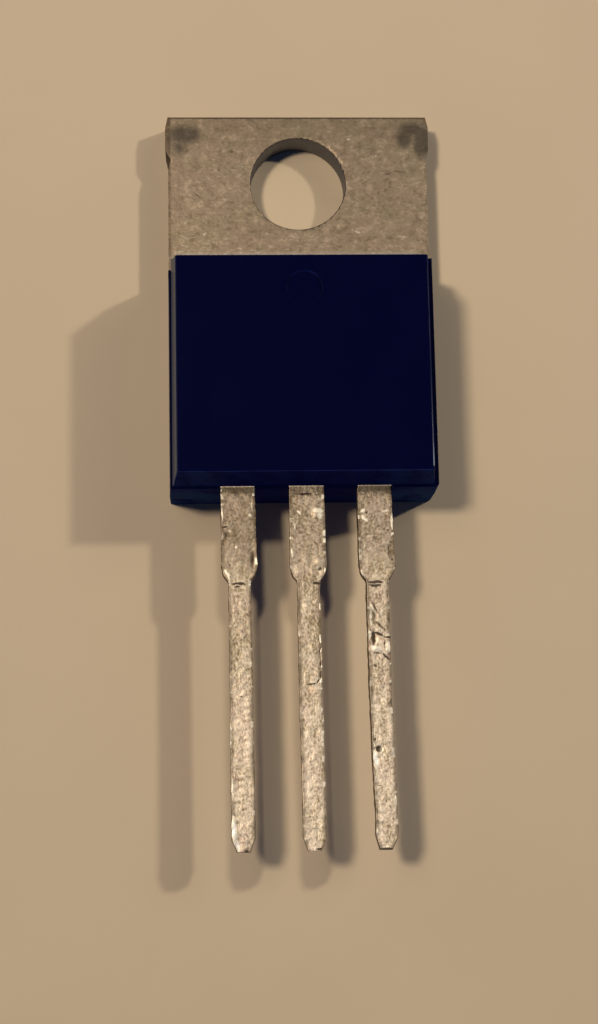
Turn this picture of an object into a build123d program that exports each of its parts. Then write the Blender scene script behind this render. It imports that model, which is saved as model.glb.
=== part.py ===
from build123d import *
import os
from math import radians, tan

# A power transistor in a moulded TO-220AB package: a thick mounting tab with a screw hole,
# a drafted epoxy body and three leads in line. Millimetres. The origin is the centre of the
# tab's hole on the back face, +X to the right, +Y to the tab's free end, +Z out of the front.

# ------------------------------------------------------------------ driving sizes

# Mounting tab, the thick gauge of the drain leadframe.
tab_width = 10.08
tab_gauge = 1.30
tab_end_margin = 2.73
hole_diameter = 3.72
hole_rollover = 0.04
hole_to_body = 3.50

# Coined pads at the tab's free corners, and the edges that coining squeezed outwards.
coin_width = 1.10
coin_length = 1.00
coin_depth = 0.05
coin_margin = 0.40
ear_bulge = 0.11
ear_length = 0.90
ear_top_blend = 0.42
ear_bottom_blend = 0.40

# The tab's inner pad, with a ledge round its sides that locks it into the epoxy.
pad_wall = 0.88
pad_end_wall = 2.83
lock_ledge = 0.30
lock_gauge = 0.65

# Leads.
lead_gauge = 0.50
lead_standoff = 2.46
lead_pitch = 2.54
lead_wide = 1.28
lead_narrow = 0.82
lead_tip_width = 0.48
lead_length = 13.18
wide_length = 2.90
shoulder_length = 0.52
shoulder_radius = 0.30
tip_taper = 0.58

# The centre lead's ramp, from the tab up to the plane of the leads.
ramp_run_in = 0.25
ramp_angle = 52.0
ramp_radius = 0.50

# Bond posts, the wide inner ends of the gate and source leads.
post_length = 1.20
post_gap = 1.10
post_wall = 0.49
post_cover = 0.74
post_radius = 0.20

# Moulded body. The two halves of the mould meet at the front of the leads. The upper half is
# a little smaller, which leaves a ledge on three sides, and the shift is how far it closed to
# the right of the lower half and up. At the tab the lower half's left side is notched.
body_width = 10.04
body_height = 4.50
body_length = 8.90
body_offset_x = -0.045
mould_step = 0.125
mould_shift_x = -0.04
mould_shift_y = -0.035
notch_length = 0.50
back_draft = 0.6
lower_draft = 1.8
lower_top_draft = 3.0
upper_draft = 6.3
top_draft = 12.5
bottom_draft = 9.0
lower_left_corner = 0.03
lower_right_corner = 0.16
upper_corner = 0.07
front_edge = 0.06
dimple_diameter = 1.35
dimple_depth = 0.12
dimple_slope = 20.0
dimple_margin = 1.25

# Silicon die, and the solder under it.
die_width = 3.60
die_length = 3.40
die_thickness = 0.20
die_margin = 1.05
solder_thickness = 0.05
solder_spread = 0.15

# Bond wires.
gate_wire_diameter = 0.15
source_wire_diameter = 0.38
source_wire_count = 3
source_wire_spacing = 0.62
gate_foot_inset = 0.40
source_foot_inset_x = 0.60
source_foot_inset_y = 1.00
wire_foot = 0.50
wire_squash = 0.70
wire_leg_angle = 55.0
wire_bend_radius = 0.35

# ------------------------------------------------------------------ sizes that follow


def slope(angle, height):
    """How far a face that leans by this angle moves over this height."""
    return height * tan(radians(angle))


hole_radius = hole_diameter / 2
body_top_y = -hole_to_body
body_end_y = body_top_y - body_length
exit_y = body_end_y + mould_step + mould_shift_y
pad_end_y = body_end_y + pad_end_wall
shoulder_y = body_end_y - wide_length
lead_end_y = body_end_y - lead_length
lead_front_z = lead_standoff + lead_gauge

# Half widths of the body, from its back to its front.
half_body = body_width / 2
half_back = half_body - slope(back_draft, tab_gauge)
half_lower = half_body - slope(lower_draft, lead_front_z - tab_gauge)
half_upper = half_lower - mould_step
half_front = half_upper - slope(upper_draft, body_height - lead_front_z)
half_pad = half_body - pad_wall

lower_top_y = body_top_y - slope(lower_top_draft, lead_front_z - tab_gauge)
front_top_y = lower_top_y - slope(top_draft, body_height - lead_front_z)
front_bottom_y = exit_y + slope(bottom_draft, body_height - lead_front_z)

post_start_y = exit_y + post_cover
post_centre_y = post_start_y + post_length / 2
post_inner_x = lead_wide / 2 + post_gap
post_outer_x = half_upper - post_wall
post_centre_x = (post_inner_x + post_outer_x) / 2

die_end_y = pad_end_y + die_margin
die_centre_y = die_end_y + die_length / 2
solder_front_z = tab_gauge + solder_thickness
die_front_z = solder_front_z + die_thickness


# ------------------------------------------------------------------ leads


def plate(outline, back_z, front_z):
    """A flat sheet with this plan outline, from one height to another."""
    return extrude(Pos(0, 0, back_z) * outline, front_z - back_z)


def symmetric_outline(right_half):
    """A closed outline from its right half, given as points from one end to the other."""
    left_half = [(-x, y) for x, y in reversed(right_half)]
    return make_face(Polyline(right_half + left_half, close=True))


def lead_outline(inner_y):
    """A lead in plan: wide at the body, rounded shoulders, narrow shank, tapered tip."""
    outline = symmetric_outline(
        [
            (lead_wide / 2, inner_y),
            (lead_wide / 2, shoulder_y),
            (lead_narrow / 2, shoulder_y - shoulder_length),
            (lead_narrow / 2, lead_end_y + tip_taper),
            (lead_tip_width / 2, lead_end_y),
        ]
    )
    shoulders = outline.vertices().filter_by(lambda corner: abs(corner.Y - shoulder_y) < 1e-6)
    return fillet(shoulders, shoulder_radius)


def outer_lead(side):
    """The gate lead (side -1) or the source lead (side 1): a flat stamping with a bond post."""
    post_width = post_outer_x - post_inner_x
    post = RectangleRounded(post_width, post_length, post_radius)
    post = Pos(side * post_centre_x, post_centre_y) * post
    shank = Pos(side * lead_pitch, 0) * lead_outline(post_centre_y)
    return plate(shank + post, lead_standoff, lead_front_z)


def drain_leadframe():
    """Tab, inner pad and centre lead, in one stamping of two gauges."""
    half_tab = tab_width / 2
    ear_top_y = tab_end_margin - ear_top_blend
    ear_bottom_y = ear_top_y - ear_length
    tab = plate(
        symmetric_outline(
            [
                (half_tab, body_top_y),
                (half_tab, ear_bottom_y - ear_bottom_blend),
                (half_tab + ear_bulge, ear_bottom_y),
                (half_tab + ear_bulge, ear_top_y),
                (half_tab, tab_end_margin),
            ]
        ),
        0,
        tab_gauge,
    )

    # The hole is punched from the front, which rounds its front edge.
    tab -= Cylinder(hole_radius, 3 * tab_gauge)
    rim = tab.edges().filter_by(GeomType.CIRCLE).sort_by(Axis.Z)[-1]
    tab = fillet(rim, hole_rollover)

    coin_x = half_tab + ear_bulge - coin_width / 2
    coin_y = tab_end_margin - coin_margin - coin_length / 2
    for side in (-1, 1):
        coin = Box(coin_width, coin_length, 2 * coin_depth)
        tab -= Pos(side * coin_x, coin_y, tab_gauge) * coin

    # The pad is narrower at the back, so that the epoxy grips under its ledge.
    pad = plate(pad_outline(0), 0, tab_gauge)
    pad += plate(pad_outline(lock_ledge), lock_gauge, tab_gauge)
    return tab + pad + formed_lead()


def pad_outline(ledge):
    """The inner pad in plan, wider and longer by the ledge."""
    return symmetric_outline(
        [
            (half_pad + ledge, body_top_y),
            (half_pad + ledge, pad_end_y - ledge),
        ]
    )


def formed_lead():
    """The centre lead, ramped up from the tab's front face to the plane of the leads."""
    low_z = tab_gauge - lead_gauge / 2
    high_z = lead_front_z - lead_gauge / 2
    ramp_start_y = pad_end_y - lock_ledge - ramp_run_in
    ramp_end_y = ramp_start_y - (high_z - low_z) / tan(radians(ramp_angle))
    middle = FilletPolyline(
        (0, pad_end_y, low_z),
        (0, ramp_start_y, low_z),
        (0, ramp_end_y, high_z),
        (0, lead_end_y, high_z),
        radius=ramp_radius,
    )
    across = Plane(origin=middle @ 0, x_dir=(1, 0, 0), z_dir=middle % 0)
    strip = sweep(across * Rectangle(lead_wide, lead_gauge), path=middle)
    return strip & plate(lead_outline(pad_end_y), 0, body_height)


# ------------------------------------------------------------------ die and bond wires


def silicon_die():
    die = Box(die_width, die_length, die_thickness)
    return Pos(0, die_centre_y, (solder_front_z + die_front_z) / 2) * die


def die_attach_solder():
    """Solder that wets the tab a little way out from the die, in a thin wedge."""
    spread_width = die_width + 2 * solder_spread
    spread_length = die_length + 2 * solder_spread
    foot = Pos(0, die_centre_y, tab_gauge) * Rectangle(spread_width, spread_length)
    top = Pos(0, die_centre_y, solder_front_z) * Rectangle(die_width, die_length)
    return loft([foot, top], ruled=True)


def bond_wire(die_foot, post_foot, diameter):
    """A round wire from the die to a post, looped, with both feet pressed flat."""
    lift = wire_squash * diameter / 2
    crown_z = (lead_front_z + body_height) / 2
    start = Vector(*die_foot, die_front_z + lift)
    end = Vector(*post_foot, lead_front_z + lift)
    forward = Vector(end.X - start.X, end.Y - start.Y, 0).normalized()
    heel = start + forward * (wire_foot / 2)
    toe = end - forward * (wire_foot / 2)
    rise = crown_z - heel.Z
    fall = crown_z - toe.Z
    steepness = tan(radians(wire_leg_angle))
    route = FilletPolyline(
        heel - forward * wire_foot,
        heel,
        heel + forward * (rise / steepness) + Vector(0, 0, rise),
        toe - forward * (fall / steepness) + Vector(0, 0, fall),
        toe,
        toe + forward * wire_foot,
        radius=wire_bend_radius,
    )
    section = Plane(origin=route @ 0, z_dir=route % 0) * Circle(diameter / 2)
    return sweep(section, path=route)


def bond_wires(die, gate_lead, source_lead):
    """The thin gate wire and the row of thick source wires, keyed by name."""
    gate_wire = bond_wire(
        (-die_width / 2 + gate_foot_inset, die_end_y + gate_foot_inset),
        (-post_centre_x, post_centre_y),
        gate_wire_diameter,
    )
    wires = {"gate_bond_wire": gate_wire - die - gate_lead}
    for number in range(source_wire_count):
        on_die = die_width / 2 - source_foot_inset_x - number * source_wire_spacing
        from_middle = (source_wire_count - 1) / 2 - number
        on_post = post_centre_x + from_middle * source_wire_spacing
        source_wire = bond_wire(
            (on_die, die_end_y + source_foot_inset_y),
            (on_post, post_centre_y),
            source_wire_diameter,
        )
        wires[f"source_bond_wire_{number + 1}"] = source_wire - die - source_lead
    return wires


# ------------------------------------------------------------------ moulded body


def mould_half(side_view, end_view, centre_x):
    """One half of the body: its side view and its end view, extruded and crossed."""
    along = extrude(Plane.YZ * make_face(Polyline(side_view, close=True)), body_width, both=True)
    across = extrude(Plane.XZ * symmetric_outline(end_view), 2 * body_length, both=True)
    return along & (Pos(centre_x, 0, 0) * across)


def lower_half():
    """The half behind the leads' front: its left side notched, its corners at the leads round."""
    half = mould_half(
        [
            (body_top_y, 0),
            (body_top_y, tab_gauge),
            (lower_top_y, lead_front_z),
            (body_end_y, lead_front_z),
            (body_end_y, 0),
        ],
        [
            (half_back, 0),
            (half_body, tab_gauge),
            (half_lower, lead_front_z),
        ],
        body_offset_x,
    )
    middle_y = body_top_y - body_length / 2
    for side, radius in ((-1, lower_left_corner), (1, lower_right_corner)):
        corners = [
            edge
            for edge in standing_edges(half)
            if edge.center().Y < middle_y and side * edge.center().X > 0
        ]
        half = fillet(corners, radius)

    # The notch is as deep as the ledge that it interrupts, and stops at the tab's front.
    notch_x = body_offset_x + mould_shift_x - half_upper - body_width / 2
    notch = Box(body_width, 2 * notch_length, 2 * (lead_front_z - tab_gauge))
    return half - Pos(notch_x, lower_top_y, lead_front_z) * notch


def upper_half():
    """The half in front of the leads, with its standing corners and front edge rounded."""
    half = mould_half(
        [
            (lower_top_y, lead_front_z),
            (front_top_y, body_height),
            (front_bottom_y, body_height),
            (exit_y, lead_front_z),
        ],
        [
            (half_upper, lead_front_z),
            (half_front, body_height),
        ],
        body_offset_x + mould_shift_x,
    )
    half = fillet(standing_edges(half), upper_corner)
    front = half.faces().sort_by(Axis.Z)[-1]
    return fillet(front.edges(), front_edge)


def standing_edges(half):
    return [
        edge
        for edge in half.edges()
        if abs(edge.position_at(1).Z - edge.position_at(0).Z) > 1e-6
    ]


def moulded_body(inside):
    """The epoxy, which fills the body's outline round everything that it holds."""
    body = lower_half() + upper_half()
    dimple_y = front_top_y - dimple_margin
    mouth_radius = dimple_diameter / 2
    floor_radius = mouth_radius - slope(dimple_slope, dimple_depth)
    dimple = Cone(floor_radius, mouth_radius, dimple_depth)
    body -= Pos(0, dimple_y, body_height - dimple_depth / 2) * dimple
    for piece in inside:
        body -= piece
    return body


# ------------------------------------------------------------------ the parts

parts = {
    "drain_leadframe": drain_leadframe(),
    "gate_lead": outer_lead(-1),
    "source_lead": outer_lead(1),
    "silicon_die": silicon_die(),
    "die_attach_solder": die_attach_solder(),
}
parts.update(bond_wires(parts["silicon_die"], parts["gate_lead"], parts["source_lead"]))
parts["moulded_body"] = moulded_body(list(parts.values()))

os.makedirs("parts", exist_ok=True)
for name, shape in parts.items():
    shape.label = name
    export_step(shape, f"parts/{name}.step")
    print(name, "volume", round(shape.volume, 3), "solids", len(shape.solids()))
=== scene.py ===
from math import radians

import bmesh
import bpy
from mathutils import Euler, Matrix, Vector, noise


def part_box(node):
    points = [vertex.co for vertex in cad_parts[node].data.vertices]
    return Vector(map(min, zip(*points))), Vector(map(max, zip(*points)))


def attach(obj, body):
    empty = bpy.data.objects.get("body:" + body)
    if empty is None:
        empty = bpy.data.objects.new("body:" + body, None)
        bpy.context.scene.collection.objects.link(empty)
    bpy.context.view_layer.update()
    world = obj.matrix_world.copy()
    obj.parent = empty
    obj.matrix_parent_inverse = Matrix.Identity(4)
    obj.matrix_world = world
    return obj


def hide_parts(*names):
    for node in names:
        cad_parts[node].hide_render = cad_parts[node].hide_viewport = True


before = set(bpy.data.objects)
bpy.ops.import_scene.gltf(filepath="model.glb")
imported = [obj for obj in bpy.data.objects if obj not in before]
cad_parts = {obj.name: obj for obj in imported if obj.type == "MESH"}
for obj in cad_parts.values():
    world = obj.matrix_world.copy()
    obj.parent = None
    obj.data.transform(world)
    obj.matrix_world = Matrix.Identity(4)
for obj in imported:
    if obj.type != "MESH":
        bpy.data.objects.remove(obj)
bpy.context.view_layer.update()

# ------------------------------------------------------------------ drain leadframe
# The tab, the pad under the die and the centre lead are one stamping of copper in two gauges,
# plated with matte tin. It is punched from the front, which rolls its edges over, and its free
# corners are coined by the clamp that held it while the body was moulded round it.

# Sizes in millimetres: the edges, then the tab, then the leads.
roll_over = 0.06
level = 0.01

tab_front = 1.30
tab_end = 2.76
tab_rolled = -3.30
tab_hidden = -3.55
tab_root = -3.60
tab_side = 5.16
tab_cell = 0.12
tab_wave = 0.018
tab_edge = 4.5
tab_edge_blend = 0.4
hole_clear = 2.2
coin_x = 3.9
coin_y = 1.2
coin_reach = 0.1
coin_share = 0.15
nick_y = 0.93
nick_length = 0.42
nick_depth = 0.105
nick_low = 0.55
nick_rise = 0.55
nick_right = 0.3

lead_exit = -12.31
lead_free = lead_exit - 0.02
lead_inside = lead_exit + 0.1
lead_covered = lead_exit + 0.3
lead_tip = -25.58
lead_front = 2.96
lead_back = 2.46
lead_reach = 0.66
lead_cell = 0.05
lead_cell_across = 0.06
lead_wave = 0.022
lead_grain = 0.012
exit_blend = 0.25
brink_inset = 0.05
brink_width = 0.10
flank_start = 0.15
flank_blend = 0.20
bend_span = 0.60
shank_half_width = 0.41
shoulder_start = -15.87
shoulder_length = 0.52
shoulder_widening = 0.23
taper_start = -25.16
taper_length = 0.42
taper_narrowing = 0.17

# Colours of the tin.
tab_pale = (0.400, 0.285, 0.185, 1)
tab_deep = (0.145, 0.096, 0.055, 1)
tab_green = (0.242, 0.177, 0.108, 1)
tab_rose = (0.250, 0.174, 0.112, 1)
tab_dull = (0.105, 0.068, 0.038, 1)
tab_smear_and_shade = (0.052, 0.041, 0.031, 1)
tab_sheared = (0.190, 0.194, 0.210, 1)
tab_line_highlight = (0.36, 0.32, 0.28, 1)
tab_rim_shade = (0.085, 0.055, 0.032, 1)
lead_pale = (0.80, 0.63, 0.448, 1)
lead_dull = (0.20, 0.135, 0.072, 1)
lead_rose = (0.57, 0.41, 0.285, 1)
lead_moss = (0.45, 0.34, 0.205, 1)
lead_rim_shade = (0.080, 0.050, 0.028, 1)
lead_collar_shadow = (0.075, 0.055, 0.030, 1)
tin_cream = (0.86, 0.73, 0.54, 1)
tin_dark = (0.072, 0.044, 0.024, 1)
tin_bright = (0.95, 0.87, 0.74, 1)
bare_copper = (0.85, 0.45, 0.28, 1)


def copy_of(node):
    """A CAD node's surface in millimetres, with its loose triangles joined into whole faces."""
    bm = bmesh.new()
    bm.from_mesh(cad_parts[node].data)
    bmesh.ops.scale(bm, vec=(1000, 1000, 1000), verts=bm.verts)
    bmesh.ops.remove_doubles(bm, verts=bm.verts, dist=0.001)
    bmesh.ops.dissolve_limit(bm, angle_limit=radians(0.5), verts=bm.verts, edges=bm.edges)
    return bm


def slice_up(bm, axis, start, stop, step, faces=None):
    """Cuts faces, or all of them, by planes at even steps along an axis."""
    for number in range(1, round((stop - start) / step)):
        point = Vector((0, 0, 0))
        point[axis] = start + number * step
        normal = Vector((0, 0, 0))
        normal[axis] = 1
        if faces is None:
            geom = bm.verts[:] + bm.edges[:] + bm.faces[:]
        else:
            cut = [face for face in bm.faces if faces(face.calc_center_median())]
            edges = dict.fromkeys(edge for face in cut for edge in face.edges)
            verts = dict.fromkeys(vert for face in cut for vert in face.verts)
            geom = [*verts, *edges, *cut]
        bmesh.ops.bisect_plane(
            bm, geom=geom, dist=0.0005, plane_co=point, plane_no=normal
        )


def roll_edges(bm, chosen, width):
    """Rounds the sharp outer edges whose middle is chosen."""
    sharp = [
        edge
        for edge in bm.edges
        if edge.is_manifold
        and edge.calc_face_angle(0) > radians(50)
        and chosen(
            (edge.verts[0].co + edge.verts[1].co) / 2,
            edge.verts[0].co - edge.verts[1].co,
        )
    ]
    bmesh.ops.bevel(
        bm,
        geom=sharp,
        offset=width,
        offset_type="OFFSET",
        segments=3,
        profile=0.5,
        affect="EDGES",
        material=-1,
        clamp_overlap=True,
    )


def ease(value):
    """A smooth step from 0 to 1."""
    value = min(max(value, 0.0), 1.0)
    return value * value * (3 - 2 * value)


def dent(place, spots):
    """The height of round-topped spots at a place: x, y, length, width, turn, height."""
    height = 0.0
    for x, y, length, width, turn, peak in spots:
        turned = Euler((0, 0, radians(turn))).to_matrix().to_2x2()
        local = Vector((place.x - x, place.y - y)) @ turned
        far = (local.x / length) ** 2 + (local.y / width) ** 2
        if far < 1:
            height += peak * (1 - far) ** 2
    return height


def edge_shift(y, bends, column):
    """How far an edge has moved at a y, eased from one listed bend to the next."""
    for start, end in zip(bends, bends[1:]):
        if end[0] <= y <= start[0]:
            share = ease((start[0] - y) / (start[0] - end[0]))
            return start[column] + (end[column] - start[column]) * share
    return 0.0


def lead_half_width(y):
    """Half the width of a lead at a y, before it is bent."""
    taper = min(max((taper_start - y) / taper_length, 0.0), 1.0)
    widening = ease((y - shoulder_start) / shoulder_length)
    return shank_half_width - taper_narrowing * taper + shoulder_widening * widening


def cut_lead(bm, centre_x):
    """Cuts the free part of a lead into cells small enough to bend its outline."""
    slice_up(bm, 1, lead_tip, lead_inside, lead_cell)
    slice_up(
        bm,
        0,
        centre_x - lead_reach,
        centre_x + lead_reach,
        lead_cell_across,
        lambda middle: middle.y < lead_inside,
    )


def rough_lead(bm, centre_x, bends, spots, seed):
    """Bends a lead's outline, waves its edges, dents it, and paints how near an edge is."""
    brink = bm.verts.layers.float.new("brink")
    for vert in bm.verts:
        place = vert.co
        if place.y > lead_free:
            continue
        inset = lead_half_width(place.y) - abs(place.x - centre_x)
        out = ease((lead_free - place.y) / exit_blend)
        side = 1 if place.x > centre_x else -1
        vert[brink] = side * (1 - ease((inset - brink_inset) / brink_width))
        edge = ease((abs(place.x - centre_x) - flank_start) / flank_blend)
        share = min(max((place.x - centre_x) / bend_span + 0.5, 0.0), 1.0)
        left = edge_shift(place.y, bends, 1)
        right = edge_shift(place.y, bends, 2)
        bent = left * (1 - share) + right * share
        coarse = noise.noise(Vector((seed, side * 3.1, place.y * 1.6)))
        fine = noise.noise(Vector((seed + 7, side * 5.3 + place.z * 1.5, place.y * 5.5)))
        shift = lead_wave * (0.7 * coarse + 0.8 * fine)
        front = ease((place.z - lead_back) / (lead_front - lead_back) * 2 - 0.9)
        grain = noise.noise(Vector((place.x * 5, place.y * 5, seed)))
        local = Vector((place.x - centre_x, place.y))
        place.x += side * edge * out * shift + bent
        place.z += out * front * (lead_grain * grain + dent(local, spots))


def finish_piece(name, bm, node, slot, *materials):
    """Turns the mesh into the piece that stands for a CAD node."""
    bmesh.ops.scale(bm, vec=(0.001, 0.001, 0.001), verts=bm.verts)
    bmesh.ops.triangulate(bm, faces=[face for face in bm.faces if len(face.verts) > 4])
    mesh = bpy.data.meshes.new(name)
    bm.to_mesh(mesh)
    bm.free()
    mesh.shade_smooth()
    mesh.set_sharp_from_angle(angle=radians(40))
    for material in materials:
        mesh.materials.append(material)
    piece = bpy.data.objects.new(name, mesh)
    bpy.context.scene.collection.objects.link(piece)
    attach(piece, "root")
    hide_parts(node)
    return piece


class Link:
    """A socket in a material. Arithmetic on it adds Math nodes, and add() any other node."""

    def __init__(self, tree, socket):
        self.tree = tree
        self.socket = socket

    def add(self, kind, settings=None, inputs=None, output=0):
        """A node of this type: its settings first, then the values or links of its sockets."""
        node = self.tree.nodes.new("ShaderNode" + kind)
        for name, setting in (settings or {}).items():
            setattr(node, name, setting)
        for name, value in (inputs or {}).items():
            if isinstance(value, Link):
                self.tree.links.new(value.socket, node.inputs[name])
            else:
                node.inputs[name].default_value = value
        return Link(self.tree, node.outputs[output])

    def math(self, operation, first, second=0.0):
        return self.add("Math", {"operation": operation}, {0: first, 1: second})

    def __add__(self, other):
        return self.math("ADD", self, other)

    def __radd__(self, other):
        return self.math("ADD", other, self)

    def __sub__(self, other):
        return self.math("SUBTRACT", self, other)

    def __rsub__(self, other):
        return self.math("SUBTRACT", other, self)

    def __mul__(self, other):
        return self.math("MULTIPLY", self, other)

    def __rmul__(self, other):
        return self.math("MULTIPLY", other, self)

    def size(self):
        """The value without its sign."""
        return self.math("ABSOLUTE", self)

    def over(self, other):
        """The larger of two values."""
        return self.math("MAXIMUM", self, other)

    def step(self, low, high):
        """A smooth rise from 0 at low to 1 at high."""
        settings = {"interpolation_type": "SMOOTHSTEP"}
        inputs = {"Value": self, "From Min": low, "From Max": high}
        return self.add("MapRange", settings, inputs)

    def tint(self, colour, other):
        """A colour that goes to another one as this value goes from 0 to 1."""
        inputs = {"Factor": self, 6: colour, 7: other}
        return self.add("Mix", {"data_type": "RGBA"}, inputs, 2)

    def noise(self, scale, detail=2.0, roughness=0.5, stretch=(1, 1, 1)):
        """Noise at a place in millimetres, about 0.5, with this many cells in a millimetre."""
        place = self.add("VectorMath", {"operation": "MULTIPLY"}, {0: self, 1: stretch})
        inputs = {"Vector": place, "Scale": scale, "Detail": detail, "Roughness": roughness}
        return place.add("TexNoise", None, inputs)

    def part(self, name):
        """One of the three coordinates of a place."""
        return self.add("SeparateXYZ", None, {0: self}, name)

    def painted(self, name):
        """A value that the mesh carries."""
        return self.add("Attribute", {"attribute_name": name}, None, 2)

    def facing(self, name):
        """How far the surface faces along one of the three axes."""
        return self.add("TexCoord", None, None, "Normal").part(name)

    def wander(self, scale, reach):
        """The place, moved about by noise."""
        inputs = {"Vector": self, "Scale": scale, "Detail": 2.0}
        swirl = self.add("TexNoise", None, inputs, 1)
        inputs = {0: swirl, 1: (0.5, 0.5, 0.5)}
        centred = self.add("VectorMath", {"operation": "SUBTRACT"}, inputs)
        inputs = {0: centred, 1: (reach, reach, reach), 2: self}
        return self.add("VectorMath", {"operation": "MULTIPLY_ADD"}, inputs)

    def marks(self, z, rows):
        """How far inside any of these ovals a place is: x, y, length, width, turn, strength."""
        total = None
        for x, y, length, width, turn, strength in rows:
            inputs = {
                "Vector": self,
                "Location": (x, y, z),
                "Rotation": (0, 0, radians(turn)),
                "Scale": (length, width, 0.5),
            }
            local = self.add("Mapping", {"vector_type": "TEXTURE"}, inputs)
            oval = local.add("TexGradient", {"gradient_type": "SPHERICAL"}, {0: local}, 1)
            oval = oval * strength
            total = oval if total is None else total.over(oval)
        return total

    def bump(self):
        """A normal from a height in millimetres."""
        return self.add("Bump", None, {"Height": self, "Distance": 0.001, "Strength": 1.0})


def new_material(name, **fixed):
    """A material with these fixed values, its shader, and the place on the object in mm."""
    material = bpy.data.materials.new(name)
    material.use_nodes = True
    tree = material.node_tree
    shader = tree.nodes["Principled BSDF"]
    for socket, value in fixed.items():
        shader.inputs[socket.replace("_", " ")].default_value = value
    start = Link(tree, None)
    place = start.add("TexCoord", None, None, "Object")
    place = place.add("VectorMath", {"operation": "SCALE"}, {0: place, "Scale": 1000.0})
    return material, shader, place


def join(shader, **links):
    """Links what varies to the shader's sockets, which are named with _ for a space."""
    for name, link in links.items():
        link.tree.links.new(link.socket, shader.inputs[name.replace("_", " ")])


def tab_tin():
    """Matte tin on the tab: mottled, fine-grained, scuffed, smeared where it was clamped, with
    painted shade on its edges and side walls and a painted highlight along the body.
    """
    material, shader, place = new_material("tab_tin", Metallic=1.0)
    mottle = place.noise(1.1, 3.0, 0.5, (0.7, 1.3, 1))
    cloud = place.noise(2.9, 3.0, 0.62)
    grain = place.noise(8.5, 3.0, 0.6, (0.8, 1, 1))
    tone = cloud * 0.56 + grain * 0.44
    colour = mottle.step(0.36, 0.64).tint(tab_rose, tab_green)
    colour = (tone.step(0.50, 0.66) * 0.75).tint(colour, tab_pale)
    colour = ((1 - tone.step(0.34, 0.50)) * 0.75).tint(colour, tab_deep)
    colour = (place.part("Y").step(0.9, 2.7) * 0.30).tint(colour, tab_deep)
    wall = 1 - place.facing("Z").step(0.30, 0.60)
    # The rolled edges are painted darker where they turn from the front: painted shade.
    rim_shade = (1 - place.facing("Z").step(0.55, 0.985)) * (0.55 + grain.step(0.40, 0.55) * 0.45)
    colour = (rim_shade * 0.75).tint(colour, tab_rim_shade)
    # Near the outer sides the side walls are painted dark in the smears' colour: painted shade.
    outside = place.part("X").size().step(4.5, 4.8)
    colour = (wall * (0.9 - outside * 0.3)).tint(colour, tab_sheared)
    colour = (wall * outside * 0.8).tint(colour, tab_smear_and_shade)
    # A painted shadow darkens the tab's front along its left edge.
    border_shade = (place.part("X") * -1).step(4.88, 5.0) * (0.5 + cloud.step(0.40, 0.60) * 0.4)
    colour = (border_shade * (1 - wall)).tint(colour, tab_rim_shade)
    nibbled = place.noise(3.2, 2.0, 0.6).step(0.42, 0.56)
    edge = place.part("X").size().step(4.93, 5.01) * nibbled
    colour = (edge * 0.5).tint(colour, tab_dull)
    # A pale line on the tab along the body's edge is a painted highlight.
    body_line_highlight = (place.wander(4.0, 0.10).part("Y") * -1).step(2.72, 2.86)
    colour = (body_line_highlight * (0.32 - outside * 0.26)).tint(colour, tab_line_highlight)
    smears = place.wander(2.2, 0.22).marks(
        tab_front,
        [
            (-4.42, 2.00, 0.95, 0.60, 0, 1.0),
            (-4.05, 2.02, 0.45, 0.50, 0, 0.9),
            (-4.62, 1.55, 0.50, 0.75, 20, 0.7),
            (4.55, 2.20, 0.95, 0.52, 0, 1.0),
            (4.90, 1.75, 0.50, 1.10, 0, 1.2),
            (4.22, 1.85, 0.50, 0.60, 0, 1.1),
        ],
    )
    smears = smears.step(0.05, 0.75)
    colour = (smears * 0.75).tint(colour, tab_smear_and_shade)
    worn = place.wander(5.0, 0.12)
    specks = worn.marks(
        tab_front,
        [
            (-4.05, -1.72, 0.30, 0.03, 8, 0.7),
            (-3.62, -2.02, 0.10, 0.06, 30, 1.0),
            (-3.30, -2.35, 0.08, 0.05, 0, 0.8),
            (-4.55, -2.10, 0.10, 0.06, 0, 0.6),
            (2.02, 1.82, 0.10, 0.05, 0, 1.2),
            (3.08, 1.12, 0.09, 0.05, 40, 1.0),
            (2.30, -1.98, 0.20, 0.07, -15, 1.1),
            (2.20, -2.35, 0.09, 0.06, 60, 0.7),
            (2.90, -2.32, 0.07, 0.05, 0, 0.7),
            (-2.15, 0.70, 0.09, 0.05, 0, 0.7),
            (-0.60, -2.12, 0.18, 0.03, 0, 0.8),
            (-1.85, -2.70, 0.10, 0.05, -20, 0.8),
            (-0.45, -2.65, 0.13, 0.06, 0, 0.7),
        ],
    )
    fleck = place.wander(3.0, 0.3).noise(5.0, 2.0, 0.6, (0.6, 1.7, 1)).step(0.60, 0.74)
    low = (place.part("Y") * -1).step(0.0, 3.3)
    specks = specks.step(0.1, 1.1).over(fleck * (0.12 + low * 0.26))
    colour = (specks * 0.5).tint(colour, tin_cream)
    scratches_and_top_shade = worn.marks(
        tab_front,
        [
            (3.55, 0.42, 0.25, 0.05, 20, 1.0),
            (3.95, 0.50, 0.30, 0.04, -5, 1.0),
            (-2.55, 1.35, 0.13, 0.12, 0, 1.0),
            (-3.05, 0.60, 0.08, 0.10, 0, 0.9),
            (-2.50, 0.66, 0.16, 0.06, 0, 0.7),
            (-3.90, -0.45, 0.22, 0.07, -40, 0.7),
            (-2.55, -0.75, 0.20, 0.10, 0, 0.6),
            (1.60, -2.55, 0.30, 0.08, 0, 0.7),
        ],
    )
    # The tab's rolled top end is painted dark here too: painted shade.
    scratches_and_top_shade = scratches_and_top_shade.step(0.1, 0.8).over(place.part("Y").step(2.655, 2.70))
    colour = (scratches_and_top_shade * 0.6).tint(colour, tab_dull)
    rough = 0.47 + cloud * 0.12 - specks * 0.10 + smears * 0.08
    height = grain * 0.006 + cloud * 0.010 - scratches_and_top_shade * 0.006 + specks * 0.004
    join(shader, Base_Color=colour, Roughness=rough, Normal=height.bump())
    return material


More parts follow.
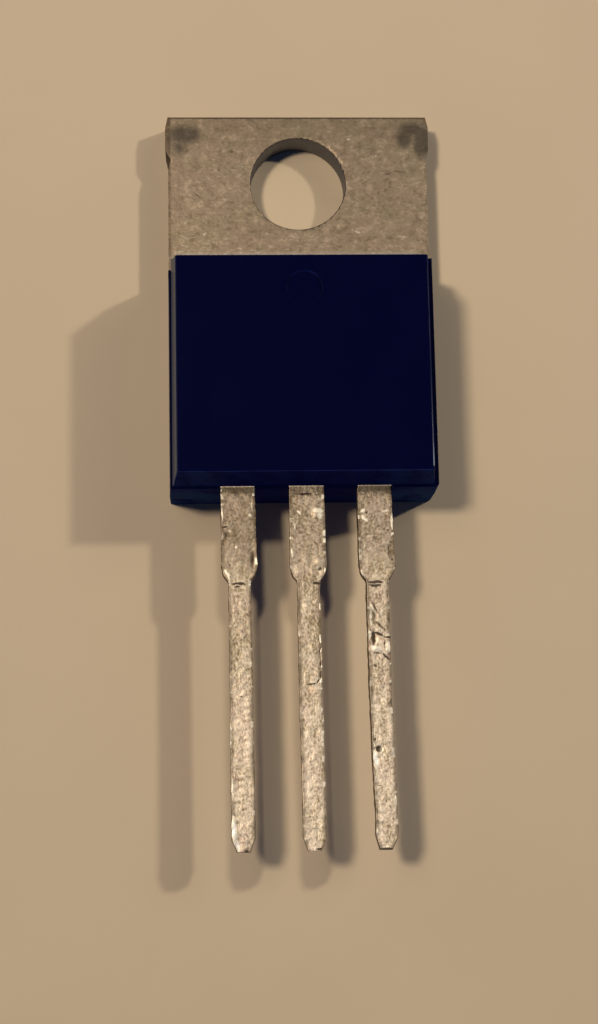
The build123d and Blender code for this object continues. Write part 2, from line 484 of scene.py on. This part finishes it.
def lead_tin():
    """Matte tin on the leads: coarse bright grain and the marks of tools and handling, with
    painted highlights and glints, painted shade on the edges and in the crumple's folds, and
    the body's painted shadow just below it.
    """
    material, shader, place = new_material("lead_tin", Metallic=1.0)
    along = place.wander(3.0, 0.08).part("Y")
    wide = along.step(-16.2, -14.0)
    low = 1 - along.step(-23.5, -16.0)
    pebble = place.noise(11.5, 2.0, 0.6, (1.1, 0.75, 1))
    ripple = place.noise(2.6, 3.0, 0.6, (1.2, 0.5, 1))
    fine = place.noise(9.5, 2.0, 0.6) * 0.70 + place.noise(3.6, 2.0, 0.6) * 0.30
    grain = (pebble * 0.62 + ripple * 0.38) * (1 - wide) + fine * wide + low * 0.026
    coarse = place.noise(1.6, 3.0, 0.6, (1, 0.7, 1))
    colour = coarse.step(0.38, 0.62).tint(lead_rose, lead_moss)
    colour = grain.step(0.44, 0.62).tint(colour, lead_pale)
    colour = ((1 - grain.step(0.36, 0.48)) * 0.85).tint(colour, lead_dull)
    outer = place.part("X").size().step(0.8, 1.8)
    # The leads are darker near the body, on the wide parts, and towards the left.
    darkening = (1 - low) * 0.20 + (1 - place.part("X").step(-3.5, 3.0)) * 0.20
    colour = (darkening + wide * (0.26 + outer * 0.07)).tint(colour, tab_dull)
    brink = place.painted("brink")
    # The leads' rolled edges and their margins are painted darker: painted shade.
    rim_shade = place.facing("X").size().step(0.20, 0.75).over(brink.size() * 0.85)
    rim_shade = rim_shade * (0.60 + coarse.step(0.40, 0.55) * 0.15 + pebble.step(0.40, 0.60) * 0.25)
    colour = (rim_shade * 0.88).tint(colour, lead_rim_shade)
    # White beads along the lead edges, more on the right-hand ones: painted glints.
    bead_glint = place.noise(2.8, 2.0, 0.6, (0.3, 1, 1)).step(0.57, 0.63) * (1 - low * 0.4)
    bead_glint = bead_glint * brink.step(0.25, 0.70).over((brink * -1).step(0.25, 0.60) * 0.5)
    colour = (bead_glint * 0.75).tint(colour, tin_cream)
    # A dark band just below the body: the body's painted shadow on the leads.
    collar_shadow = along.step(-12.62, -12.50) * (0.23 + coarse.step(0.35, 0.6) * 0.25 + outer * 0.52)
    colour = (collar_shadow * 0.85).tint(colour, lead_collar_shadow)
    # A pale line where each lead leaves the body: a painted highlight.
    exit_highlight = place.part("Y").step(lead_exit - 0.05, lead_free)
    colour = (exit_highlight * 0.55).tint(colour, lead_pale)
    worn = place.wander(4.0, 0.12)
    # Dark marks: score lines, cracks and pits; on the crumpled source lead they are partly
    # painted shade in its folds.
    dark = worn.marks(
        lead_front,
        [
            (-2.55, -15.93, 0.32, 0.055, -2, 2.2),
            (-2.62, -16.06, 0.17, 0.045, 3, 1.3),
            (-3.00, -13.83, 0.17, 0.04, 0, 1.2),
            (-3.00, -14.10, 0.10, 0.16, 20, 1.1),
            (-2.04, -15.05, 0.13, 0.52, 0, 1.1),
            (-2.86, -15.25, 0.07, 0.15, 30, 0.9),
            (-0.05, -12.62, 0.42, 0.05, 0, 1.5),
            (0.30, -15.95, 0.20, 0.05, -3, 2.2),
            (0.43, -15.42, 0.11, 0.11, 0, 1.3),
            (0.36, -18.45, 0.028, 0.46, 2, 1.1),
            (0.37, -18.88, 0.032, 0.20, 0, 1.5),
            (0.35, -19.30, 0.036, 0.22, -9, 1.9),
            (0.28, -19.52, 0.036, 0.12, -35, 1.9),
            (0.05, -19.61, 0.23, 0.036, 6, 1.9),
            (0.22, -25.52, 0.14, 0.06, 0, 1.6),
            (2.46, -15.94, 0.36, 0.06, 0, 2.8),
            (2.45, -16.06, 0.27, 0.055, -3, 2.6),
            (2.19, -13.37, 0.06, 0.035, -30, 2.0),
            (2.08, -13.05, 0.10, 0.13, 0, 0.8),
            (3.06, -14.45, 0.10, 0.07, 0, 1.0),
            (3.07, -15.12, 0.11, 0.09, 0, 1.1),
            (2.98, -14.80, 0.045, 0.45, 0, 1.1),
            (2.97, -14.02, 0.12, 0.07, 0, 1.0),
            (2.42, -16.84, 0.035, 0.30, 28, 1.1),
            (2.38, -17.16, 0.06, 0.34, 0, 0.9),
            (2.56, -17.50, 0.03, 0.30, 46, 0.9),
            (2.53, -17.83, 0.27, 0.042, -20, 2.2),
            (2.86, -17.95, 0.17, 0.038, -5, 2.0),
            (2.31, -17.97, 0.085, 0.30, -2, 2.6),
            (2.73, -18.20, 0.030, 0.26, 0, 1.0),
            (2.47, -18.53, 0.24, 0.030, -6, 1.3),
            (2.78, -18.67, 0.24, 0.042, -43, 2.2),
            (-2.38, -25.54, 0.11, 0.07, 25, 1.7),
            (2.38, -19.02, 0.12, 0.14, 0, 1.0),
            (2.88, -16.40, 0.05, 0.35, 0, 1.1),
            (2.90, -17.30, 0.06, 0.28, 10, 0.9),
            (2.39, -22.00, 0.095, 0.105, 0, 5.0),
            (2.31, -21.66, 0.045, 0.09, 0, 1.8),
            (2.32, -24.20, 0.035, 0.26, 6, 1.0),
            (2.41, -23.32, 0.18, 0.04, -8, 0.8),
            (2.58, -25.55, 0.26, 0.06, 0, 3.0),
            (-2.50, -20.05, 0.14, 0.06, 0, 0.9),
            (-2.28, -17.80, 0.06, 0.12, 0, 0.9),
        ],
    )
    # Bright marks: painted highlights and glints on facets, dents and edges, with some lighter
    # tin.
    bright = worn.marks(
        lead_front,
        [
            (-2.83, -24.80, 0.10, 0.66, 3, 5.0),
            (-2.71, -25.33, 0.085, 0.30, 16, 4.8),
            (-2.86, -23.35, 0.04, 0.50, 0, 2.2),
            (-2.92, -21.50, 0.045, 0.75, 0, 3.0),
            (-2.95, -15.60, 0.06, 0.30, 24, 2.9),
            (-3.12, -12.45, 0.05, 0.12, 0, 1.4),
            (-3.12, -13.35, 0.045, 0.42, 0, 1.5),
            (-2.02, -13.05, 0.05, 0.40, 0, 0.9),
            (-2.08, -13.40, 0.12, 0.12, 20, 1.2),
            (-2.86, -13.98, 0.14, 0.10, 0, 0.9),
            (-2.61, -14.58, 0.09, 0.08, 30, 1.5),
            (-0.28, -13.31, 0.06, 0.16, 32, 2.4),
            (0.40, -13.24, 0.26, 0.13, -8, 2.2),
            (0.47, -13.43, 0.16, 0.20, 0, 1.8),
            (-0.47, -13.85, 0.06, 0.32, 5, 1.0),
            (-0.58, -14.85, 0.045, 0.28, 0, 2.0),
            (0.60, -15.48, 0.045, 0.20, 0, 1.3),
            (0.39, -16.80, 0.045, 0.18, 0, 2.6),
            (0.39, -17.98, 0.045, 0.20, 3, 3.0),
            (0.41, -18.40, 0.035, 0.12, 0, 2.4),
            (0.42, -18.70, 0.035, 0.06, 0, 2.6),
            (0.42, -18.98, 0.04, 0.08, 0, 3.4),
            (0.40, -19.50, 0.035, 0.14, 0, 2.0),
            (0.05, -18.60, 0.20, 0.30, 0, 0.6),
            (0.42, -20.90, 0.04, 0.30, 0, 1.0),
            (-0.06, -25.46, 0.09, 0.08, 0, 1.8),
            (2.07, -13.29, 0.12, 0.10, -20, 3.0),
            (2.11, -13.57, 0.07, 0.20, 40, 3.2),
            (2.88, -13.30, 0.24, 0.09, 5, 1.2),
            (3.12, -13.70, 0.05, 0.42, 0, 2.4),
            (2.10, -14.60, 0.04, 0.16, 0, 1.2),
            (2.33, -14.20, 0.20, 0.05, 0, 1.0),
            (2.33, -16.90, 0.04, 0.30, 28, 1.5),
            (2.24, -17.20, 0.05, 0.44, 0, 1.3),
            (2.47, -17.70, 0.04, 0.28, 50, 1.0),
            (2.62, -17.66, 0.05, 0.26, 48, 0.8),
            (2.19, -17.84, 0.055, 0.25, 0, 2.7),
            (2.42, -18.36, 0.27, 0.14, -13, 3.0),
            (2.52, -18.12, 0.18, 0.14, 0, 1.2),
            (2.86, -18.34, 0.12, 0.27, 0, 2.3),
            (2.84, -17.86, 0.15, 0.07, -10, 1.0),
            (2.74, -18.55, 0.08, 0.10, 0, 1.0),
            (2.93, -18.93, 0.06, 0.06, 0, 1.6),
            (2.30, -22.36, 0.10, 0.42, 4, 6.5),
            (2.24, -21.85, 0.03, 0.20, 12, 1.4),
            (2.28, -21.40, 0.035, 0.40, 2, 1.0),
            (2.29, -23.03, 0.07, 0.26, 0, 1.1),
            (2.36, -23.62, 0.17, 0.28, 0, 0.7),
            (2.44, -24.15, 0.08, 0.26, 5, 0.9),
            (2.46, -24.55, 0.07, 0.12, 0, 1.1),
            (2.30, -24.95, 0.07, 0.36, 8, 1.2),
            (2.66, -24.00, 0.12, 0.26, 0, 0.5),
            (2.98, -23.72, 0.045, 0.10, 0, 2.0),
            (2.96, -23.30, 0.04, 0.16, 0, 1.0),
        ],
    )
    copper = worn.marks(
        lead_front,
        [
            (-2.58, -25.50, 0.12, 0.07, 0, 1.6),
            (-2.60, -25.10, 0.14, 0.18, 0, 0.5),
            (0.02, -19.85, 0.30, 0.30, 0, 0.6),
            (0.02, -24.20, 0.28, 0.50, 0, 0.4),
            (-0.02, -25.50, 0.12, 0.06, 0, 1.2),
            (2.20, -22.50, 0.05, 0.06, 0, 1.4),
            (2.60, -18.05, 0.10, 0.20, 0, 0.9),
            (2.15, -18.30, 0.05, 0.14, 0, 1.6),
            (2.60, -24.60, 0.24, 0.40, 0, 0.5),
        ],
    )
    # Brown patches; on the crumpled source lead they are partly painted shade in its folds.
    brown = worn.marks(
        lead_front,
        [
            (2.38, -17.16, 0.12, 0.46, 2, 2.3),
            (2.43, -16.88, 0.07, 0.40, 28, 2.0),
            (2.90, -16.29, 0.08, 0.13, 0, 1.6),
            (2.89, -16.80, 0.08, 0.22, 0, 1.5),
            (2.91, -17.25, 0.08, 0.17, 0, 1.4),
            (2.86, -17.60, 0.08, 0.13, 0, 1.2),
            (2.60, -17.54, 0.08, 0.36, 46, 2.0),
            (2.55, -17.86, 0.28, 0.09, -20, 1.4),
            (2.33, -18.00, 0.14, 0.34, -2, 1.9),
            (2.73, -18.20, 0.06, 0.26, 0, 1.3),
            (-2.40, -25.48, 0.18, 0.12, 25, 1.2),
            (2.85, -18.70, 0.22, 0.08, -40, 1.0),
            (2.36, -19.01, 0.14, 0.10, 0, 1.2),
            (2.24, -19.86, 0.07, 0.32, 0, 1.3),
            (-2.03, -15.00, 0.16, 0.60, 0, 1.0),
            (0.56, -15.40, 0.12, 0.24, 0, 0.9),
            (3.02, -14.80, 0.14, 0.60, 0, 0.9),
            (-3.06, -14.20, 0.12, 0.50, 0, 0.9),
        ],
    )
    dark = dark.step(0.15, 1.1)
    glint = bright.step(2.0, 3.4)
    bright = (bright * (0.55 + pebble * 0.9)).step(0.15, 1.3)
    copper = copper.step(0.1, 1.0)
    colour = (copper * 0.4).tint(colour, bare_copper)
    colour = (brown.step(0.1, 1.0) * 0.7).tint(colour, tab_dull)
    colour = (bright * 0.75).tint(colour, tin_cream)
    colour = (glint * 0.9).tint(colour, tin_bright)
    colour = (dark * 0.88).tint(colour, tin_dark)
    rough = 0.46 + coarse * 0.08 + dark * 0.2
    height = grain * 0.014 - dark * 0.012 + bright * 0.003
    join(shader, Base_Color=colour, Roughness=rough, Normal=height.bump())
    return material


tab_finish = tab_tin()
lead_finish = lead_tin()

leadframe = copy_of("drain_leadframe")
roll_edges(
    leadframe,
    lambda middle, along: abs(along.z) < level
    and (middle.y < lead_covered or (middle.y > tab_rolled and middle.xy.length > hole_clear)),
    roll_over,
)
cut_lead(leadframe, 0.0)
slice_up(leadframe, 1, tab_root, tab_end, tab_cell)
slice_up(leadframe, 0, -tab_side, tab_side, tab_cell, lambda middle: middle.y > tab_root)
for vert in leadframe.verts:
    place = vert.co
    reach = abs(place.x)
    if reach > coin_x and place.y > coin_y and tab_front - coin_reach < place.z < tab_front:
        place.z = tab_front - coin_share * (tab_front - place.z)
    if reach > tab_edge and place.y > tab_hidden:
        side = 1 if place.x > 0 else -1
        front = ease((place.z - nick_low) / nick_rise)
        nick = max(1 - ((place.y - nick_y) / nick_length) ** 2, 0) ** 2
        nick *= nick_depth if side < 0 else nick_right * nick_depth
        wave = noise.noise(Vector((side * 4.7, place.y * 3.2, place.z * 0.8)))
        edge = ease((reach - tab_edge) / tab_edge_blend)
        place.x -= side * edge * (front * nick + tab_wave * wave)
rough_lead(
    leadframe,
    0.0,
    [
        (-12.30, 0.00, 0.00),
        (-14.80, -0.01, 0.03),
        (-15.30, -0.03, 0.06),
        (-15.62, -0.08, 0.10),
        (-15.95, 0.01, 0.01),
        (-19.00, 0.01, 0.02),
        (-24.80, 0.05, 0.06),
        (-25.20, 0.03, 0.08),
        (-25.60, 0.05, 0.05),
    ],
    [
        (0.36, -15.15, 0.22, 0.28, 0, 0.02),
        (0.40, -13.35, 0.30, 0.35, 0, 0.02),
        (0.34, -18.70, 0.10, 0.80, 4, -0.02),
    ],
    1.0,
)
for face in leadframe.faces:
    face.material_index = 1 if face.calc_center_median().y < lead_covered else 0
finish_piece(
    "leadframe_tab", leadframe, "drain_leadframe", "tinned_copper", tab_finish, lead_finish
)

# ------------------------------------------------------------------ gate and source leads
# The two outer leads are cut from the thin gauge of the same strip. Inside the body each widens
# into a post for its bond wires. Outside, handling bent them out of line and pressed them flat
# again, which left the source lead crumpled below its shoulders and pitted further down.

lead_marks = {
    "gate_lead": (
        -2.54,
        [
            (-12.30, 0.00, 0.00),
            (-14.80, 0.01, 0.03),
            (-15.30, 0.00, 0.06),
            (-15.62, -0.07, 0.10),
            (-15.95, 0.03, 0.03),
            (-20.00, 0.03, 0.05),
            (-24.80, 0.02, 0.06),
            (-25.20, -0.01, 0.08),
            (-25.60, 0.04, 0.05),
        ],
        [
            (0.48, -15.05, 0.20, 0.55, 0, -0.012),
            (-0.32, -24.95, 0.16, 0.70, 6, 0.02),
        ],
        2.0,
    ),
    "source_lead": (
        2.54,
        [
            (-12.30, -0.03, -0.05),
            (-14.80, -0.03, 0.00),
            (-15.30, -0.03, 0.04),
            (-15.62, -0.10, 0.08),
            (-15.95, -0.01, 0.00),
            (-20.00, 0.01, 0.00),
            (-21.50, 0.04, 0.04),
            (-24.80, 0.12, 0.09),
            (-25.20, 0.07, 0.10),
            (-25.60, 0.08, 0.04),
        ],
        [
            (0.53, -14.80, 0.14, 0.55, 0, -0.012),
            (-0.16, -17.20, 0.12, 0.60, 0, -0.018),
            (0.05, -17.85, 0.34, 0.12, -25, -0.018),
            (-0.21, -17.98, 0.14, 0.34, -4, -0.03),
            (-0.10, -18.34, 0.30, 0.18, -14, 0.015),
            (0.28, -18.38, 0.16, 0.28, 0, 0.012),
            (0.28, -18.74, 0.24, 0.10, -48, -0.02),
            (-0.15, -22.00, 0.11, 0.12, 0, -0.12),
        ],
        3.0,
    ),
}

for node, (centre_x, bends, spots, seed) in lead_marks.items():
    lead = copy_of(node)
    roll_edges(
        lead,
        lambda middle, along: abs(along.z) < level and middle.y < lead_covered,
        roll_over,
    )
    cut_lead(lead, centre_x)
    rough_lead(lead, centre_x, bends, spots, seed)
    finish_piece(node + "_stamping", lead, node, "tinned_copper", lead_finish)

# ------------------------------------------------------------------ die attach solder
# A thin layer of high-lead solder, melted under the die. It wets the tin a little way out
# and sets with a dull, slightly grained surface.

solder_colour = (0.50, 0.50, 0.51, 1)
solder_dark = (0.33, 0.33, 0.35, 1)


def dress(names, material):
    """Gives CAD nodes whose shape is right their finish."""
    for name in names:
        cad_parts[name].data.materials.clear()
        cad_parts[name].data.materials.append(material)


def solder_finish():
    material, shader, place = new_material("solder", Metallic=1.0)
    grain = place.noise(14.0, 3.0, 0.6)
    flow = place.noise(1.8, 2.0, 0.5, (1, 1, 0.2))
    colour = (grain * 0.6 + flow * 0.4).step(0.35, 0.65).tint(solder_dark, solder_colour)
    rough = 0.38 + grain * 0.18
    height = grain * 0.004 + flow * 0.02
    join(shader, Base_Color=colour, Roughness=rough, Normal=height.bump())
    return material


dress(["die_attach_solder"], solder_finish())

# ------------------------------------------------------------------ silicon die
# A vertical power transistor chip, sawn from its wafer. Its face is aluminium, which is one
# large source pad with fine gate fingers through it and a small gate pad in one corner, inside
# a dark ring of polyimide along the sawn edge.

die_blur = 0.008
die_street = 0.05
pad_margin = 0.16
gate_pad_end = 0.72
gate_gap_end = 0.80
finger_pitch = 0.30
silicon_dark = (0.055, 0.060, 0.075, 1)
silicon_sawn = (0.16, 0.165, 0.18, 1)
pad_aluminium = (0.72, 0.72, 0.74, 1)
ring_amber = (0.16, 0.11, 0.05, 1)


def die_finish():
    material, shader, place = new_material("silicon_die")
    low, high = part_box("silicon_die")
    left, right = low.x * 1000, high.x * 1000
    bottom, top = low.y * 1000, high.y * 1000
    across = place.part("X")
    along = place.part("Y")

    def strip(value, start, stop):
        begun = value.step(start - die_blur, start + die_blur)
        return begun * (1 - value.step(stop - die_blur, stop + die_blur))

    def oblong(x_start, x_stop, y_start, y_stop):
        return strip(across, x_start, x_stop) * strip(along, y_start, y_stop)

    def inset(gap):
        return oblong(left + gap, right - gap, bottom + gap, top - gap)

    def corner(start, stop):
        return oblong(left + start, left + stop, bottom + start, bottom + stop)

    face = place.part("Z").step(high.z * 1000 - 0.02, high.z * 1000 - 0.01)
    gate = corner(pad_margin, gate_pad_end)
    source = inset(pad_margin) * (1 - corner(0, gate_gap_end))
    finger = across.math("PINGPONG", across - left - pad_margin, finger_pitch)
    metal = face * gate.over(source * finger.step(0.012, 0.024))
    ring = face * inset(die_street)
    sawn = place.noise(30.0, 2.0, 0.5, (1, 1, 0.1))
    colour = (sawn * 0.25).tint(silicon_dark, silicon_sawn)
    colour = ring.tint(colour, ring_amber)
    colour = metal.tint(colour, pad_aluminium)
    grain = place.noise(40.0, 2.0, 0.5)
    rough = 0.16 + metal * (0.14 + grain * 0.12)
    height = metal * 0.004 + grain * metal * 0.0006
    join(shader, Base_Color=colour, Metallic=metal, Roughness=rough, Normal=height.bump())
    return material


dress(["silicon_die"], die_finish())

# ------------------------------------------------------------------ bond wires
# Aluminium wires, drawn round and welded at both ends by ultrasound: three thick ones carry the
# source current and a thin one the gate signal. The weld leaves each foot flat and dull.

foot_flat = 0.20
foot_end = 0.34
wire_bright = (0.80, 0.80, 0.82, 1)
wire_dull = (0.52, 0.52, 0.54, 1)


def wire_finish():
    material, shader, place = new_material("aluminium_wire", Metallic=1.0)
    drawn = place.noise(6.0, 2.0, 0.5, (6, 1, 1))
    pressed = place.noise(24.0, 3.0, 0.6)
    up = place.part("Z")
    die_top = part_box("silicon_die")[1].z * 1000
    die_foot = 1 - up.step(die_top + foot_flat, die_top + foot_end)
    post_foot = 1 - up.step(lead_front + foot_flat, lead_front + foot_end)
    foot = die_foot.over(up.step(lead_front, lead_front + 0.02) * post_foot)
    colour = (foot * 0.6 + drawn * 0.2).tint(wire_bright, wire_dull)
    rough = 0.24 + foot * 0.2 + drawn * 0.08
    height = drawn * 0.003 + pressed * foot * 0.004
    join(shader, Base_Color=colour, Roughness=rough, Normal=height.bump())
    return material


dress([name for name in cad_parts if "bond_wire" in name], wire_finish())

# ------------------------------------------------------------------ moulded body
# Black novolac epoxy filled with silica, transfer moulded round the leadframe in a polished
# mould. The front is left bare and almost smooth, the drafted sides keep a little more texture,
# and a round mark shows where an ejector pin pushed the part out.

body_front = 4.5
dimple_x = 0.0
dimple_y = -5.17
dimple_reach = 0.85
epoxy_navy = (0.0010, 0.0010, 0.0150, 1)
epoxy_cloud = (0.0016, 0.0018, 0.0175, 1)
# Painted shade and reflection tints for the sides and ends:
epoxy_side = (0.0060, 0.0085, 0.0350, 1)
epoxy_end = (0.015, 0.020, 0.115, 1)
epoxy_teal = (0.026, 0.062, 0.150, 1)
epoxy_glint = (0.200, 0.208, 0.250, 1)
epoxy_left_sheen = (0.092, 0.093, 0.108, 1)


def epoxy_finish():
    material, shader, place = new_material(
        "black_epoxy", Specular_IOR_Level=0.0, Coat_Roughness=0.14
    )
    cloud = place.noise(0.5, 3.0, 0.5)
    fill = place.noise(16.0, 2.0, 0.5)
    patch = place.noise(1.4, 3.0, 0.6)
    front = place.facing("Z").step(0.80, 0.98)
    end = (place.facing("Y") * -1).step(0.5, 0.8)
    circle = (dimple_x, dimple_y, dimple_reach, dimple_reach, 0, 1.0)
    dimple = place.marks(body_front, [circle]).step(0.0, 0.1)
    sideways = place.facing("X")
    left = (sideways * -1).step(0.5, 0.9) * (1 - dimple)
    colour = (cloud.step(0.4, 0.7) * 0.5).tint(epoxy_navy, epoxy_cloud)
    # The colour also changes with the way each face looks: the sides are painted lighter and
    # bluer than the front, the faces towards the leads lighter and bluer still, with teal
    # patches low down. This is painted light, the tint of their shade and reflections.
    colour = (1 - front).tint(colour, epoxy_side)
    colour = (end * (0.65 + patch.step(0.35, 0.65) * 0.35)).tint(colour, epoxy_end)
    outer = place.part("X").size().step(1.2, 4.2) * patch.step(0.30, 0.60)
    low = 1 - place.part("Z").step(1.6, 2.8)
    colour = (end * outer * (0.35 + low * 0.55)).tint(colour, epoxy_teal)
    # The left-facing walls are painted a light grey: a painted sheen.
    colour = (left * 0.9).tint(colour, epoxy_left_sheen)
    down = place.part("Y") * -1
    right_edge = sideways.step(0.05, 0.20) * (1 - sideways.step(0.80, 0.95))
    right_edge = right_edge * (1 - down.step(11.88, 11.95))
    # Along the right front edge, brightest near the leads, the colour is a painted glint.
    edge_glint = right_edge * (down.step(8.8, 12.2) * 0.40 + down.step(10.9, 11.7) * 0.60)
    colour = edge_glint.tint(colour, epoxy_glint)
    left_edge = (sideways * -1).step(0.03, 0.15) * (1 - left)
    coat = 0.35 - right_edge * (0.32 - down.step(8.0, 12.6) * 0.6) - left_edge * 0.31
    wall_coat = (0.16 + left * 0.10) * (1 - dimple * 0.85)
    coat = (coat * front + wall_coat * (1 - front)) * (1 - end * 0.90)
    rough = 0.5 + fill * 0.1
    height = fill * 0.0015 + place.noise(2.5, 3.0, 0.5) * 0.003
    join(shader, Base_Color=colour, Coat_Weight=coat, Roughness=rough, Normal=height.bump())
    return material


dress(["moulded_body"], epoxy_finish())

# ------------------------------------------------------------------ table, light and camera
# The part lies on its back on a plain pale table. Two small lamps cast its two shadows. A
# wider, weaker glow beside each lamp softens them, and a dim blue room lights what is left.

table_reach = 3.0
room_blue = (0.10, 0.30, 1.0, 1)
room_strength = 0.14
lamp_warm = (1.0, 0.96, 0.85)
lamp_cool = (1.0, 1.0, 0.91)
table_far = (0.565, 0.414, 0.264, 1)
table_near = (0.498, 0.362, 0.226, 1)


def table_finish():
    material, shader, place = new_material("table", Roughness=0.85, Specular_IOR_Level=0.1)
    cloud = place.noise(0.12, 3.0, 0.5)
    # The table is painted lighter towards the far side: a painted falloff of the lamps' light.
    far = place.part("Y").step(-45.0, 30.0)
    colour = (far * 0.8 + cloud.step(0.3, 0.7) * 0.2).tint(table_near, table_far)
    join(shader, Base_Color=colour)
    return material


table_mesh = bpy.data.meshes.new("table")
bm = bmesh.new()
bmesh.ops.create_grid(bm, x_segments=2, y_segments=2, size=table_reach)
bm.to_mesh(table_mesh)
bm.free()
table_mesh.materials.append(table_finish())
table = bpy.data.objects.new("table", table_mesh)
bpy.context.scene.collection.objects.link(table)

aim = Vector((0.0, -0.0114, 0.0))
for name, direction, distance, size, power, colour in (
    ("lamp_left", (-0.415, 0.13, 1.0), 0.30, 0.038, 0.505, lamp_warm),
    ("glow_left", (-0.405, 0.30, 1.0), 0.30, 0.100, 0.090, lamp_warm),
    ("lamp_right", (0.888, 0.41, 1.0), 0.35, 0.021, 0.440, lamp_cool),
    ("glow_right", (0.760, 0.55, 1.0), 0.35, 0.120, 0.090, lamp_cool),
):
    lamp = bpy.data.lights.new(name, "AREA")
    lamp.shape = "DISK"
    lamp.size = size
    lamp.energy = power
    lamp.color = colour
    holder = bpy.data.objects.new(name, lamp)
    away = Vector(direction).normalized()
    holder.location = aim + away * distance
    holder.rotation_euler = away.to_track_quat("Z", "Y").to_euler()
    holder.visible_camera = False
    bpy.context.scene.collection.objects.link(holder)

world = bpy.data.worlds.new("room")
world.use_nodes = True
background = world.node_tree.nodes["Background"]
background.inputs["Color"].default_value = room_blue
background.inputs["Strength"].default_value = room_strength
bpy.context.scene.world = world
bpy.context.scene.view_settings.view_transform = "Standard"

camera = bpy.data.cameras.new("camera")
camera.lens = 65.368
camera.clip_start = 0.002
camera.clip_end = 10.0
eye = bpy.data.objects.new("camera", camera)
eye.location = (-0.00382, -0.02556, 0.07013)
eye.rotation_mode = "ZYX"
eye.rotation_euler = (0.18058, -0.05157, -0.01038)
bpy.context.scene.collection.objects.link(eye)
bpy.context.scene.camera = eye
